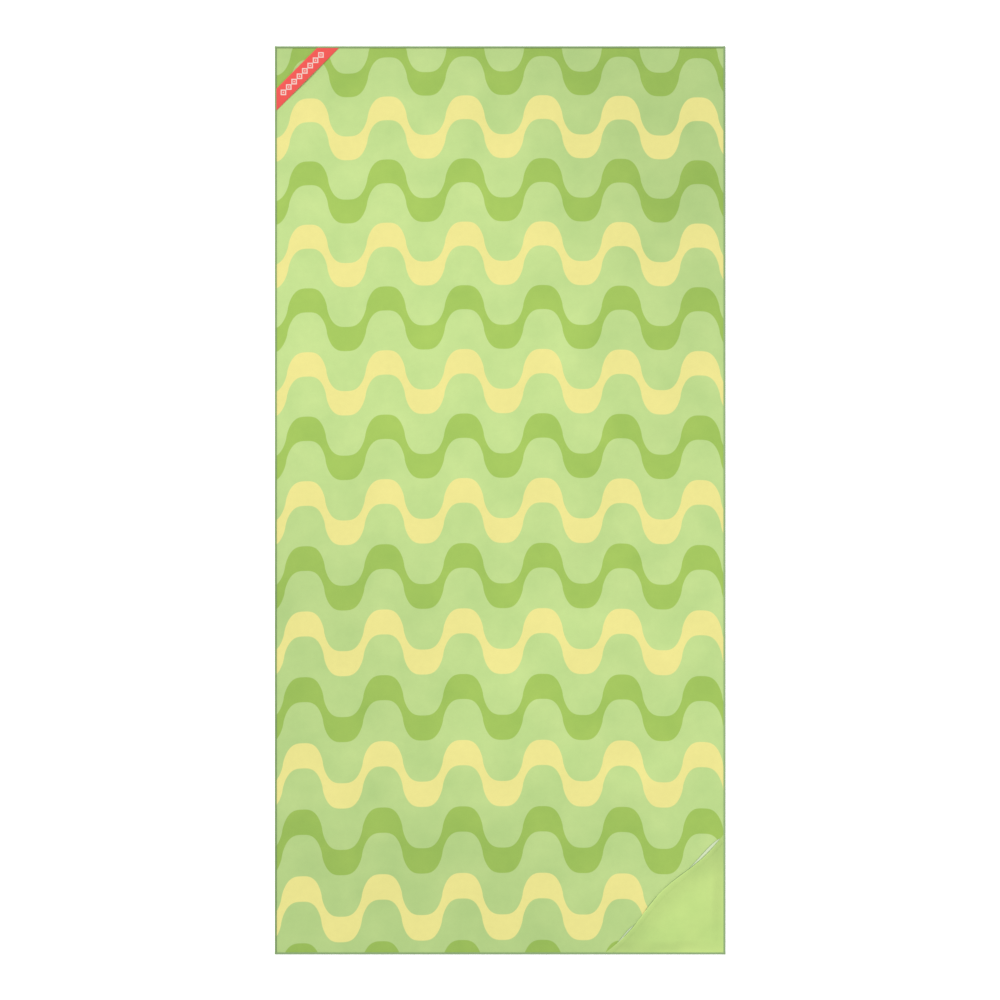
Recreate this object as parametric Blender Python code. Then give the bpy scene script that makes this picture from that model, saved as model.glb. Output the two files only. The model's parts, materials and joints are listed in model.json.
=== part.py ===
"""Quick dry towel, lying flat with its printed face up.

The towel is one printed cloth with a stitched edging all round, a ribbon loop
across its upper left corner, a patch pocket in its lower right corner and a
care label under it. Cloth can't bend as a rigid piece, so the cloth and its
edging are divided at the three fold lines, and the ribbon and the pocket's
mouth are divided where they lift.

Frame: X across the towel, Y along it towards the ribbon's end, Z up. The
origin is under the middle of the towel, on the surface that it lies on.
"""

import math

import bmesh
import bpy
from mathutils import Matrix, Vector

# Outline of the towel.
TOWEL_WIDTH = 0.750
TOWEL_LENGTH = 1.511
PANEL_COUNT = 4
PANEL_LENGTH = TOWEL_LENGTH / PANEL_COUNT
FOLD_GAP = 0.0010

# Heights, from the surface that the towel lies on. Layers keep a clearance.
CLEARANCE = 0.0003
LIP_THICKNESS = 0.0004
CLOTH_THICKNESS = 0.0005
OVERLAY_THICKNESS = 0.0004
CLOTH_LOW = LIP_THICKNESS + CLEARANCE
CLOTH_HIGH = CLOTH_LOW + CLOTH_THICKNESS
OVERLAY_LOW = CLOTH_HIGH + CLEARANCE
OVERLAY_HIGH = OVERLAY_LOW + OVERLAY_THICKNESS
UPPER_LIP_LOW = OVERLAY_HIGH + CLEARANCE
TOWEL_THICKNESS = UPPER_LIP_LOW + LIP_THICKNESS

# The edging wraps round the cloth's rim, with its open side facing inwards.
EDGING_WIDTH = 0.0034
EDGING_WALL = 0.0008
RIM_INSET = EDGING_WALL + 0.0004

# Fold axes stand above the face, to leave room for what lies between.
END_FOLD_HEIGHT = 0.0061
MIDDLE_FOLD_HEIGHT = 0.0170

# Ribbon loop: its centreline meets both edges this far from the corner.
RIBBON_WIDTH = 0.0258
RIBBON_REACH = 0.0920
RIBBON_LENGTH = RIBBON_REACH * math.sqrt(2)
RIBBON_END_LENGTH = 0.0205

# Corner pocket: a right triangle, with its mouth on the long side.
POCKET_LEG = 0.203
POCKET_MOUTH = POCKET_LEG * math.sqrt(2)
MOUTH_LIFT_LENGTH = 0.190
HEM_WIDTH = 0.009
THREAD_WIDTH = 0.0008
THREAD_INSET = 0.0062

# Care label, under the cloth by the left edge.
LABEL_WIDTH = 0.025
LABEL_LENGTH = 0.045
LABEL_LOW = 0.0001
LABEL_THICKNESS = 0.0003
LABEL_FROM_LOWER_EDGE = 0.090
LABEL_FROM_SIDE = EDGING_WIDTH + 0.0008

LEFT = -TOWEL_WIDTH / 2
RIGHT = TOWEL_WIDTH / 2
LOWER = -TOWEL_LENGTH / 2
UPPER = TOWEL_LENGTH / 2
LOWER_FOLD = LOWER + PANEL_LENGTH
MIDDLE_FOLD = 0.0
UPPER_FOLD = UPPER - PANEL_LENGTH

DIAGONAL = Vector((1, 1)).normalized()


def clear_scene():
    """Remove every object, so that the script can run again."""
    for obj in list(bpy.data.objects):
        bpy.data.objects.remove(obj, do_unlink=True)


def make_material(name, colour, roughness):
    """One plain Principled material. The colour is linear RGB."""
    material = bpy.data.materials.new(name)
    material.use_nodes = True
    shader = material.node_tree.nodes["Principled BSDF"]
    shader.inputs["Base Color"].default_value = (*colour, 1.0)
    shader.inputs["Roughness"].default_value = roughness
    shader.inputs["Metallic"].default_value = 0.0
    return material


def make_pivot(name, location, parent=None):
    """An empty on a joint's axis, which carries the pieces of one body."""
    pivot = bpy.data.objects.new(name, None)
    bpy.context.scene.collection.objects.link(pivot)
    pivot.empty_display_size = 0.02
    pivot.parent = parent
    origin = parent.matrix_world.translation if parent else Vector()
    pivot.location = Vector(location) - origin
    bpy.context.view_layer.update()
    return pivot


def add_piece(name, shape, material, pivot):
    """Turn a bmesh drawn in towel coordinates into an object on its pivot."""
    bmesh.ops.recalc_face_normals(shape, faces=shape.faces)
    mesh = bpy.data.meshes.new(name)
    shape.to_mesh(mesh)
    shape.free()
    mesh.transform(Matrix.Translation(-pivot.matrix_world.translation))
    mesh.materials.append(material)
    piece = bpy.data.objects.new(name, mesh)
    bpy.context.scene.collection.objects.link(piece)
    piece.parent = pivot
    return piece


def add_slab(name, outline, low, high, material, pivot):
    """A flat layer: the outline at the low height, extruded to the high one."""
    shape = bmesh.new()
    corners = [shape.verts.new((x, y, low)) for x, y in outline]
    base = shape.faces.new(corners)
    raised = bmesh.ops.extrude_face_region(shape, geom=[base])
    top = [item for item in raised["geom"] if isinstance(item, bmesh.types.BMVert)]
    bmesh.ops.translate(shape, verts=top, vec=(0, 0, high - low))
    return add_piece(name, shape, material, pivot)


def edging_section():
    """The edging's cross-section as (distance from the rim, height)."""
    width = EDGING_WIDTH
    wall = EDGING_WALL
    return [
        (0, 0),
        (width, 0),
        (width, LIP_THICKNESS),
        (wall, LIP_THICKNESS),
        (wall, UPPER_LIP_LOW),
        (width, UPPER_LIP_LOW),
        (width, TOWEL_THICKNESS),
        (0, TOWEL_THICKNESS),
    ]


def inward(start, end):
    """Unit normal of a rim segment, on its left, where the towel is."""
    along = (end - start).normalized()
    return Vector((-along.y, along.x))


def mitre_directions(rim):
    """For each rim point, the direction in which the section is laid out."""
    normals = [inward(a, b) for a, b in zip(rim, rim[1:])]
    directions = [normals[0]]
    for before, after in zip(normals, normals[1:]):
        directions.append((before + after) / (1 + before.dot(after)))
    directions.append(normals[-1])
    return directions


def add_edging(name, rim_points, material, pivot):
    """Edging along part of the rim, given anticlockwise seen from above."""
    rim = [Vector(point) for point in rim_points]
    section = edging_section()
    shape = bmesh.new()
    rings = []
    for point, direction in zip(rim, mitre_directions(rim)):
        ring = []
        for distance, height in section:
            place = point + direction * distance
            ring.append(shape.verts.new((place.x, place.y, height)))
        rings.append(ring)
    count = len(section)
    for ring, following in zip(rings, rings[1:]):
        for i in range(count):
            j = (i + 1) % count
            shape.faces.new((ring[i], ring[j], following[j], following[i]))
    shape.faces.new(rings[0])
    shape.faces.new(rings[-1])
    return add_piece(name, shape, material, pivot)


def add_cloth(name, lower, upper, material, pivot):
    """One panel of the cloth, tucked into the edging at the sides."""
    left = LEFT + RIM_INSET
    right = RIGHT - RIM_INSET
    outline = [(left, lower), (right, lower), (right, upper), (left, upper)]
    return add_slab(name, outline, CLOTH_LOW, CLOTH_HIGH, material, pivot)


def ribbon_point(along, across):
    """A point on the ribbon: along it from the left edge, across to the corner."""
    start = Vector((LEFT, UPPER - RIBBON_REACH))
    towards_corner = Vector((-DIAGONAL.x, DIAGONAL.y))
    return tuple(start + DIAGONAL * along + towards_corner * across)


def add_ribbon(material, end_pivot, loop_pivot):
    """The ribbon's two sewn ends, and the middle that lifts between them."""
    half = RIBBON_WIDTH / 2
    seam = RIM_INSET * math.sqrt(2)
    cut = RIBBON_END_LENGTH
    far_cut = RIBBON_LENGTH - cut
    left_end = [
        ribbon_point(seam - half, -half),
        ribbon_point(cut - FOLD_GAP, -half),
        ribbon_point(cut - FOLD_GAP, half),
        ribbon_point(seam + half, half),
    ]
    upper_end = [
        ribbon_point(far_cut + FOLD_GAP, -half),
        ribbon_point(RIBBON_LENGTH - seam + half, -half),
        ribbon_point(RIBBON_LENGTH - seam - half, half),
        ribbon_point(far_cut + FOLD_GAP, half),
    ]
    middle = [
        ribbon_point(cut, -half),
        ribbon_point(far_cut, -half),
        ribbon_point(far_cut, half),
        ribbon_point(cut, half),
    ]
    low = OVERLAY_LOW
    high = OVERLAY_HIGH
    add_slab("ribbon_left_end", left_end, low, high, material, end_pivot)
    add_slab("ribbon_upper_end", upper_end, low, high, material, end_pivot)
    add_slab("ribbon_middle", middle, low, high, material, loop_pivot)


def pocket_point(along, depth):
    """A point in the pocket: along its mouth, and in from it to the corner."""
    start = Vector((RIGHT - POCKET_LEG, LOWER))
    towards_corner = Vector((DIAGONAL.x, -DIAGONAL.y))
    return tuple(start + DIAGONAL * along + towards_corner * depth)


def add_pocket(cloth, thread, patch_pivot, mouth_pivot):
    """The patch, the hemmed middle of its mouth, and the hem's sewing thread."""
    seam = RIM_INSET * math.sqrt(2)
    low_end = (POCKET_MOUTH - MOUTH_LIFT_LENGTH) / 2
    high_end = (POCKET_MOUTH + MOUTH_LIFT_LENGTH) / 2
    patch = [
        pocket_point(seam, 0),
        pocket_point(low_end - FOLD_GAP, 0),
        pocket_point(low_end - FOLD_GAP, HEM_WIDTH + FOLD_GAP),
        pocket_point(high_end + FOLD_GAP, HEM_WIDTH + FOLD_GAP),
        pocket_point(high_end + FOLD_GAP, 0),
        pocket_point(POCKET_MOUTH - seam, 0),
        (RIGHT - RIM_INSET, LOWER + RIM_INSET),
    ]
    hem = [
        pocket_point(low_end, 0),
        pocket_point(low_end, HEM_WIDTH),
        pocket_point(high_end, HEM_WIDTH),
        pocket_point(high_end, 0),
    ]
    seam_line = [
        pocket_point(low_end + HEM_WIDTH, THREAD_INSET),
        pocket_point(low_end + HEM_WIDTH, THREAD_INSET + THREAD_WIDTH),
        pocket_point(high_end - HEM_WIDTH, THREAD_INSET + THREAD_WIDTH),
        pocket_point(high_end - HEM_WIDTH, THREAD_INSET),
    ]
    low = OVERLAY_LOW
    high = OVERLAY_HIGH
    thread_low = OVERLAY_HIGH + CLEARANCE
    add_slab("pocket_patch", patch, low, high, cloth, patch_pivot)
    add_slab("pocket_mouth_hem", hem, low, high, cloth, mouth_pivot)
    add_slab(
        "pocket_hem_thread",
        seam_line,
        thread_low,
        TOWEL_THICKNESS,
        thread,
        mouth_pivot,
    )


def add_care_label(material, pivot):
    """The blank label, sewn along its short side by the left edge."""
    left = LEFT + LABEL_FROM_SIDE
    right = left + LABEL_LENGTH
    lower = LOWER + LABEL_FROM_LOWER_EDGE
    upper = lower + LABEL_WIDTH
    outline = [(left, lower), (right, lower), (right, upper), (left, upper)]
    high = LABEL_LOW + LABEL_THICKNESS
    add_slab("care_label", outline, LABEL_LOW, high, material, pivot)


def make_pivots():
    """The empties of the moving bodies, each on its joint's axis."""
    low_end = make_pivot("lower_fold_axis", (0, LOWER_FOLD, END_FOLD_HEIGHT))
    upper = make_pivot("middle_fold_axis", (0, MIDDLE_FOLD, MIDDLE_FOLD_HEIGHT))
    top_at = (0, UPPER_FOLD, END_FOLD_HEIGHT)
    top_end = make_pivot("upper_fold_axis", top_at, upper)
    loop_at = (*ribbon_point(RIBBON_LENGTH / 2, 0), OVERLAY_LOW)
    mouth_at = (*pocket_point(POCKET_MOUTH / 2, 0), OVERLAY_LOW)
    label_y = LOWER + LABEL_FROM_LOWER_EDGE + LABEL_WIDTH / 2
    return {
        "lower_middle": make_pivot("lower_middle_base", (0, 0, 0)),
        "bottom_end": low_end,
        "upper_middle": upper,
        "top_end": top_end,
        "ribbon_loop": make_pivot("ribbon_lift", loop_at, top_end),
        "pocket_mouth": make_pivot("pocket_lift", mouth_at, low_end),
        "care_label": make_pivot(
            "label_hinge", (LEFT + LABEL_FROM_SIDE, label_y, 0), low_end
        ),
    }


def add_panels(cloth, pivots):
    """The four cloth panels, cut back from the rim and from the fold lines."""
    half_gap = FOLD_GAP / 2
    rim_low = LOWER + RIM_INSET
    rim_high = UPPER - RIM_INSET
    spans = {
        "bottom_end": (rim_low, LOWER_FOLD - half_gap),
        "lower_middle": (LOWER_FOLD + half_gap, MIDDLE_FOLD - half_gap),
        "upper_middle": (MIDDLE_FOLD + half_gap, UPPER_FOLD - half_gap),
        "top_end": (UPPER_FOLD + half_gap, rim_high),
    }
    for panel, (lower, upper) in spans.items():
        add_cloth(f"cloth_{panel}", lower, upper, cloth, pivots[panel])


def add_rim(thread, pivots):
    """The edging: round both ends in one piece, and in strips between them."""
    half_gap = FOLD_GAP / 2
    low_cut = LOWER_FOLD - half_gap
    high_cut = UPPER_FOLD + half_gap
    bottom = [(LEFT, low_cut), (LEFT, LOWER), (RIGHT, LOWER), (RIGHT, low_cut)]
    top = [(RIGHT, high_cut), (RIGHT, UPPER), (LEFT, UPPER), (LEFT, high_cut)]
    add_edging("edging_bottom_end", bottom, thread, pivots["bottom_end"])
    add_edging("edging_top_end", top, thread, pivots["top_end"])
    spans = {
        "lower": (LOWER_FOLD + half_gap, MIDDLE_FOLD - half_gap),
        "upper": (MIDDLE_FOLD + half_gap, UPPER_FOLD - half_gap),
    }
    for half, (lower, upper) in spans.items():
        pivot = pivots[f"{half}_middle"]
        right = [(RIGHT, lower), (RIGHT, upper)]
        left = [(LEFT, upper), (LEFT, lower)]
        add_edging(f"edging_{half}_right", right, thread, pivot)
        add_edging(f"edging_{half}_left", left, thread, pivot)


def build():
    """Build the whole towel."""
    clear_scene()
    printed = make_material("printed_cloth", (0.53, 0.72, 0.27), 0.85)
    lime = make_material("lime_cloth", (0.54, 0.75, 0.25), 0.85)
    edging = make_material("edging_thread", (0.31, 0.45, 0.23), 0.80)
    hem_thread = make_material("hem_thread", (0.50, 0.70, 0.24), 0.70)
    ribbon = make_material("red_ribbon", (0.90, 0.09, 0.08), 0.55)
    label = make_material("label_satin", (0.85, 0.85, 0.82), 0.50)
    pivots = make_pivots()
    add_panels(printed, pivots)
    add_rim(edging, pivots)
    add_ribbon(ribbon, pivots["top_end"], pivots["ribbon_loop"])
    add_pocket(lime, hem_thread, pivots["bottom_end"], pivots["pocket_mouth"])
    add_care_label(label, pivots["care_label"])


build()
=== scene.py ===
"""Looks of the quick dry towel: cloth, edging, ribbon, pocket, floor and light.

The towel lies flat with its printed face up. Its cloth is built as thin closed
shells, with close rows of points across the three fold lines.
"""

import json
import math

import bmesh
import bpy
import numpy as np
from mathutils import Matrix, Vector


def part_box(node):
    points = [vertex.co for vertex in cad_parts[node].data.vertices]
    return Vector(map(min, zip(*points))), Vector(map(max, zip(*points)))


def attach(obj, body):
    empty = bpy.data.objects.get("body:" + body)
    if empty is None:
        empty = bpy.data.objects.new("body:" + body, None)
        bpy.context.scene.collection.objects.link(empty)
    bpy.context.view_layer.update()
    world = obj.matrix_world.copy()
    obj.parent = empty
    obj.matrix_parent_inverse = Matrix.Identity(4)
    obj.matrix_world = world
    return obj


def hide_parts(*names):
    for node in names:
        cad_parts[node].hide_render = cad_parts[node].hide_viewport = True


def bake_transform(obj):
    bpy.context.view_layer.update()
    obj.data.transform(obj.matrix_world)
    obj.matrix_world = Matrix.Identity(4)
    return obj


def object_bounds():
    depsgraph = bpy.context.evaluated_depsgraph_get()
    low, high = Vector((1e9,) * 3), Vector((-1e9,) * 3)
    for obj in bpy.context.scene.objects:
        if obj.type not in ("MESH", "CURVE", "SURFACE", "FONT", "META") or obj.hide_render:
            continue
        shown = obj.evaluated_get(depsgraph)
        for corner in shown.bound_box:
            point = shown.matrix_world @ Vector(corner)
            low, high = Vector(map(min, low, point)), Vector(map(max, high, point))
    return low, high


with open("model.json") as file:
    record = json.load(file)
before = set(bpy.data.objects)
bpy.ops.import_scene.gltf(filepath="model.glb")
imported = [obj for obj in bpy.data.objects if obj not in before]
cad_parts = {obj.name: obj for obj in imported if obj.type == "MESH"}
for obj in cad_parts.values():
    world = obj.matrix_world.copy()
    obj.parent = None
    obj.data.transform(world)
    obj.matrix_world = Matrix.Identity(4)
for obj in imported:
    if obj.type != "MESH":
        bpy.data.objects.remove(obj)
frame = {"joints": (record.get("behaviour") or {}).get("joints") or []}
cad_low, cad_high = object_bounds()

MM = 0.001

# Outline and fold lines, from the frame.
LEFT, LOWER = cad_low.x, cad_low.y
RIGHT, UPPER = cad_high.x, cad_high.y
HALF_WIDTH = (RIGHT - LEFT) / 2
JOINTS = {joint["name"]: joint for joint in frame["joints"]}
LOWER_FOLD = JOINTS["fold_bottom_end"]["pos_m"][1]
MIDDLE_FOLD = JOINTS["fold_middle"]["pos_m"][1]
UPPER_FOLD = JOINTS["fold_top_end"]["pos_m"][1]
LOWER_SEAM = (LOWER_FOLD + MIDDLE_FOLD) / 2
UPPER_SEAM = (MIDDLE_FOLD + UPPER_FOLD) / 2
END_BEND = 12 * MM
MIDDLE_BEND = 24 * MM

# Mesh edges sharper than this are shaded sharp.
SHARP_ANGLE = math.radians(55)

# Cloth layers, as heights above the floor where the cloth lies flat.
BACK_LOW = 0.50 * MM
PLY_MEETING = 0.95 * MM
FACE_HIGH = 1.40 * MM
GRID_STEP = 6 * MM
BEND_STEP = 1.0 * MM
RIM_INSET = 1.5 * MM

# The sheet that settles on the floor as cloth and gives the towel its soft
# folds. It starts with seeded bumps: a few broad ones and many small ones. Its
# settled heights are scaled so that the highest is HIGHEST_FOLD.
SHEET_STEP = 15 * MM
SHEET_SEED = 11
BROAD_BUMPS = 26
SMALL_BUMPS = 150
BROAD_RADIUS = 120 * MM
SMALL_RADIUS = 46 * MM
BROAD_HEIGHT = 30 * MM
SMALL_HEIGHT = 8 * MM
LONGEST_BUMP = 2.2
SETTLE_FRAMES = 24
HIGHEST_FOLD = 4.0 * MM
SHEET_CLEAR = 1.5 * MM
CONTACT_GAP = 0.5 * MM
GROUND_SIZE = 4

# Edging: overlock thread wrapped round the rim. STITCH_RELIEF is how deep the
# thread's ridges are, as a share, and SECTION_POWER makes the section boxy.
EDGING_HALF_WIDTH = 1.75 * MM
EDGING_HALF_HEIGHT = 1.25 * MM
EDGING_MID = 1.30 * MM
STITCH_PITCH = 3.0 * MM
RINGS_PER_STITCH = 4
EDGING_SIDES = 12
STITCH_RELIEF = 0.16
SECTION_POWER = 0.6

# Ribbon loop, and the chain of diamonds woven along its middle. It thins towards
# its two long edges.
RIBBON_WIDTH = 25.8 * MM
RIBBON_LOW = 1.62 * MM
RIBBON_THICKNESS = 0.5 * MM
RIBBON_SLACK = 1.1 * MM
RIBBON_HELD = 18 * MM
RIBBON_STEPS = 41
RIBBON_STEPS_ACROSS = 15
RIBBON_EDGE_THINNING = 0.45
RIBBON_EDGE_POWER = 8
DIAMOND_COUNT = 8
DIAMOND_PITCH = 12.6 * MM
DIAMOND_REACH = 5.2 * MM
DIAMOND_LINE = 1.9 * MM
DIAMOND_DOT = 1.5 * MM
DIAMOND_SOFTNESS = 0.4 * MM

# Pocket patch. Its mouth is a soft roll that strays from a straight line, and
# behind the roll the cloth sinks and then fills out again. Its edge is rounded,
# down to MOUTH_THINNEST of its thickness, and it is thinner where the edging
# holds it. Its rings of points are close together in the roll.
POCKET_THICKNESS = 0.8 * MM
MOUTH_THINNEST = 0.35
MOUTH_ROUNDING = 1.6 * MM
SEAM_THINNEST = 0.3
ROLL_RINGS = np.array([0, 0.35, 0.9, 1.6, 2.4, 3.2, 4.0, 5.0, 6.2, 7.8, 9.6]) * MM
BODY_RINGS_FROM = 12 * MM
BODY_RINGS = 44
CENTRE_CLEAR = 1 * MM
POCKET_COLUMNS = 49
POCKET_CLEAR = 0.45 * MM
MOUTH_STRAY = 3.6 * MM
MOUTH_SWELL = 2.4 * MM
STRAY_FADE = 60 * MM
SEAM_CLEAR = 0.08 * MM
SEAM_START = 3.0 * MM
SEAM_END = 24 * MM
ROLL_HEIGHT = 1.5 * MM
ROLL_CREST = 3.2 * MM
ROLL_FRONT = 6.0 * MM
ROLL_BACK = 15 * MM
FULLNESS = 3.0 * MM
FULLNESS_CENTRE = 62 * MM
FULLNESS_RADIUS = 36 * MM
HEM_DEPTH = 7.4 * MM
HEM_STITCH = 2.4 * MM
HEM_STITCH_PITCH = 3.4 * MM
HEM_THREAD_RADIUS = 0.22 * MM
HEM_THREAD_SWELL = (0.35, 0.9, 1.0, 0.9, 0.35)
HEM_THREAD_SIDES = 6
HEM_THREAD_LIFT = 0.1 * MM
HEM_MARGIN = 9 * MM

# Care label: its points are close together in this stretch next to its sewn side.
LABEL_FINE = 8 * MM
LABEL_STEPS = 12

# The hem's pale inside, seen at two places where the mouth stands open: where
# it starts and stops as shares of the mouth, how far it shows, and whether it is
# in the far half. It is widest past its middle, its ends are blunt, and it is
# crowned across the part that shows.
FACINGS = (
    ("right", 0.690, 0.958, 5.9 * MM, True),
    ("lower", 0.095, 0.245, 3.2 * MM, False),
)
FACING_CLEAR = 0.12 * MM
FACING_THICKNESS = 0.30 * MM
FACING_TUCK = 4.0 * MM
FACING_LEAN = 1.5
FACING_BLUNTNESS = 0.6
FACING_THINNEST = 0.3
FACING_CROWN = 1.6
# Where the facing's edge thread, partly painted shade, starts and stops.
FACING_EDGE_SHADOW_ENDS = 0.02
FACING_COLUMNS = 61
FACING_ROWS = 9

# Painted shade: dark threads along the mouth, where its lip casts a thin contact
# shadow on the face, shaped as the hem's overlocked raw edge: from which share of
# the mouth to which, and whether it is in the far half.
MOUTH_SHADOW_LINES = (
    ("right", 0.515, 0.955, True),
    ("middle", 0.350, 0.460, False),
    ("lower", 0.150, 0.255, False),
)
# Dark threads: along the mouth, painted shade; along the facings, partly painted shade.
MOUTH_SHADOW_RADIUS = 0.38 * MM
FACING_EDGE_SHADOW_RADIUS = 0.22 * MM
MOUTH_SHADOW_RINGS = 120
FACING_EDGE_SHADOW_RINGS = 90
SHADOW_THREAD_SIDES = 8
SHADOW_THREAD_ENDS = 0.03
SHADOW_THREAD_TAPER = 0.4

# Wave print. Row 0 is the uppermost yellow row, and odd rows are green. Every
# figure changes a little from row to row, as the print widens downwards.
ROW_ZERO_Y = 621.7 * MM
ROW_PITCH = 104.7 * MM
ROW_PITCH_GROWTH = 0.283 * MM
WAVE_PERIOD = 129.6 * MM
WAVE_PERIOD_GROWTH = 0.349 * MM
WAVE_HEIGHT = 32.5 * MM
WAVE_HEIGHT_GROWTH = 0.18 * MM
WAVE_ANCHOR_X = 80.0 * MM
WAVE_PHASE = 0.0656
CREST_WIDTH_POWER = 3.02
CREST_HEIGHT_POWER = 1.31
BAND_THICKNESS = 39.4 * MM
BAND_THICKNESS_GROWTH = 0.253 * MM
ROW_ARCH = 6.1 * MM
ROW_TILT = 1.3 * MM
PRINT_SOFTNESS = 0.9 * MM

# Painted shade: soft random patches of painted light and shade over the cloth,
# the red most, standing in for the shading of soft folds. Below are the patches'
# size and the painted shading in each channel, from dark to light.
MOTTLE_SHADE_SIZE = 75 * MM
PAINTED_MOTTLE_SHADE = (0.34, 0.21, 0.28)

# Painted light: broad pools of light painted into the cloth's colours, warm in
# tint: x, y, radius and how much. The yellow ink takes less of this painted light
# and shade, and the lime cloth has a painted pool of light at its corner.
PAINTED_LIGHT_POOLS = (
    (-0.22, 0.35, 0.55, 0.259),
    (0.53, -0.18, 0.78, 0.197),
    (-0.15, -0.29, 0.37, 0.101),
)
PAINTED_LIGHT_TINT = (1.0, 0.85, 0.87)
YELLOW_PAINTED_LIGHT_CUT = 0.7
LIME_PAINTED_LIGHT_POOL = ((RIGHT, LOWER, 0.19, 0.26),)

# Sizes of the finest detail in the cloth, the threads and the ribbon.
NAP_SIZE = 9 * MM
GRAIN_SIZE = 1.6 * MM
WEAVE_PITCH = 0.7 * MM
FUZZ_SIZE = 0.8 * MM
THREAD_LENGTH = 14 * MM
RIBBON_FIBRE = 1.2 * MM
RIB_PITCH = 1.1 * MM
SATIN_FIBRE = 1.0 * MM
NOISE_ROUGHNESS = 0.55

# How much lighter the nap and the grain make the cloth from dark to light.
NAP_TONE = 0.07
GRAIN_TONE = 0.06

# Roughness, as its lowest value and how much it varies, and bump, as its depth
# and strength. In the cloth's bump the nap counts one, and weave and grain less.
CLOTH_ROUGH = (0.80, 0.16)
THREAD_ROUGH = (0.65, 0.20)
RIBBON_ROUGH = (0.45, 0.20)
SATIN_ROUGH = (0.35, 0.20)
CLOTH_BUMP = (0.25 * MM, 0.45)
THREAD_BUMP = (0.12 * MM, 0.6)
RIBBON_BUMP = (0.12 * MM, 0.5)
SATIN_BUMP = (0.05 * MM, 0.4)
WEAVE_RELIEF = 0.35
GRAIN_RELIEF = 0.6
MOTIF_RELIEF = 0.8

# Even roughness, for viewers that don't read the nodes, and sheen. How strong
# every cloth's mirror reflection is, and how wide its sheen spreads.
MICROFIBRE_GLOSS = (0.88, 0.12)
THREAD_GLOSS = (0.75, 0.15)
GROSGRAIN_GLOSS = (0.5, 0.1)
FACING_GLOSS = (0.85, 0.1)
SATIN_GLOSS = (0.4, 0.2)
CLOTH_SPECULAR = 0.25
SHEEN_SPREAD = 0.5

# Lightest and darkest of a thread, darkest of the ribbon and the satin, as
# factors, and how much of a thread's mottling is fuzz.
THREAD_LIGHT = 1.18
THREAD_DARK = 0.84
RIBBON_DARK = 0.90
SATIN_DARK = 0.92
FUZZ_SHARE = 0.6

# Colours, linear RGB.
GROUND_GREEN = (0.351, 0.486, 0.181)
YELLOW = (0.637, 0.594, 0.209)
DARK_GREEN = (0.241, 0.380, 0.071)
LIME = (0.347, 0.483, 0.154)
EDGING_GREEN = (0.191, 0.289, 0.129)
RIBBON_RED = (0.741, 0.074, 0.065)
WOVEN_PINK = (0.706, 0.517, 0.474)
HEM_THREAD_LIME = (0.347, 0.485, 0.162)
FACING_PALE = (0.485, 0.582, 0.380)
SATIN_WHITE = (0.66, 0.66, 0.63)
FLOOR_WHITE = (0.96, 0.96, 0.96)
WHITE = (1.0, 1.0, 1.0)

# The floor is matt paper that glows a little.
FLOOR_ROUGHNESS = 0.9
FLOOR_SPECULAR = 0.1
FLOOR_GLOW = 0.35

# Light: an even sky and a low soft key light, bright enough to burn the floor
# out to white. The camera sees the sky itself as plain white.
SKY_STRENGTH = 0.806
KEY_STRENGTH = 2.457
KEY_FROM = (-1.0, 1.0, 1.15)
KEY_SOFTNESS = math.radians(30)

# The floor's size, the picture's width on the floor, and how far up the towel
# from its middle the camera stands, looking straight down.
FLOOR_SIZE = 14
FRAME_WIDTH = 1.6643
CAMERA_UP = 0.42 * MM
LENS = 100
SENSOR_WIDTH = 36
CLIP_END = 50


# ---------------------------------------------------------------- shapes


def bumpy_sheet():
    """The sheet before it settles: its columns, rows and heights."""
    columns = np.linspace(LEFT, RIGHT, round((RIGHT - LEFT) / SHEET_STEP) + 1)
    rows = np.linspace(LOWER, UPPER, round((UPPER - LOWER) / SHEET_STEP) + 1)
    x, y = np.meshgrid(columns, rows)
    height = np.zeros_like(x)
    draw = np.random.default_rng(SHEET_SEED)
    kinds = (
        (BROAD_BUMPS, BROAD_RADIUS, BROAD_HEIGHT),
        (SMALL_BUMPS, SMALL_RADIUS, SMALL_HEIGHT),
    )
    for count, radius, rise in kinds:
        for _ in range(count):
            dx = x - draw.uniform(LEFT, RIGHT)
            dy = y - draw.uniform(LOWER, UPPER)
            heading = draw.uniform(0, math.pi)
            along = dx * math.cos(heading) + dy * math.sin(heading)
            across = dy * math.cos(heading) - dx * math.sin(heading)
            stretch = draw.uniform(1.0, LONGEST_BUMP)
            shape = (along / (radius * stretch)) ** 2 + (across / radius) ** 2
            height += rise * draw.uniform(-1.0, 1.0) * np.exp(-shape)
    return columns, rows, height - height.min()


def add_sheet_object(columns, rows, height):
    """A mesh object of the sheet, just above the floor."""
    x, y = np.meshgrid(columns, rows)
    vertices = np.stack([x, y, height + SHEET_CLEAR], axis=-1).reshape(-1, 3)
    mesh = bpy.data.meshes.new("settling_sheet")
    faces = grid_faces(len(rows), len(columns), 0)
    mesh.from_pydata(vertices.tolist(), [], faces)
    sheet = bpy.data.objects.new("settling_sheet", mesh)
    bpy.context.scene.collection.objects.link(sheet)
    return sheet


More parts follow.
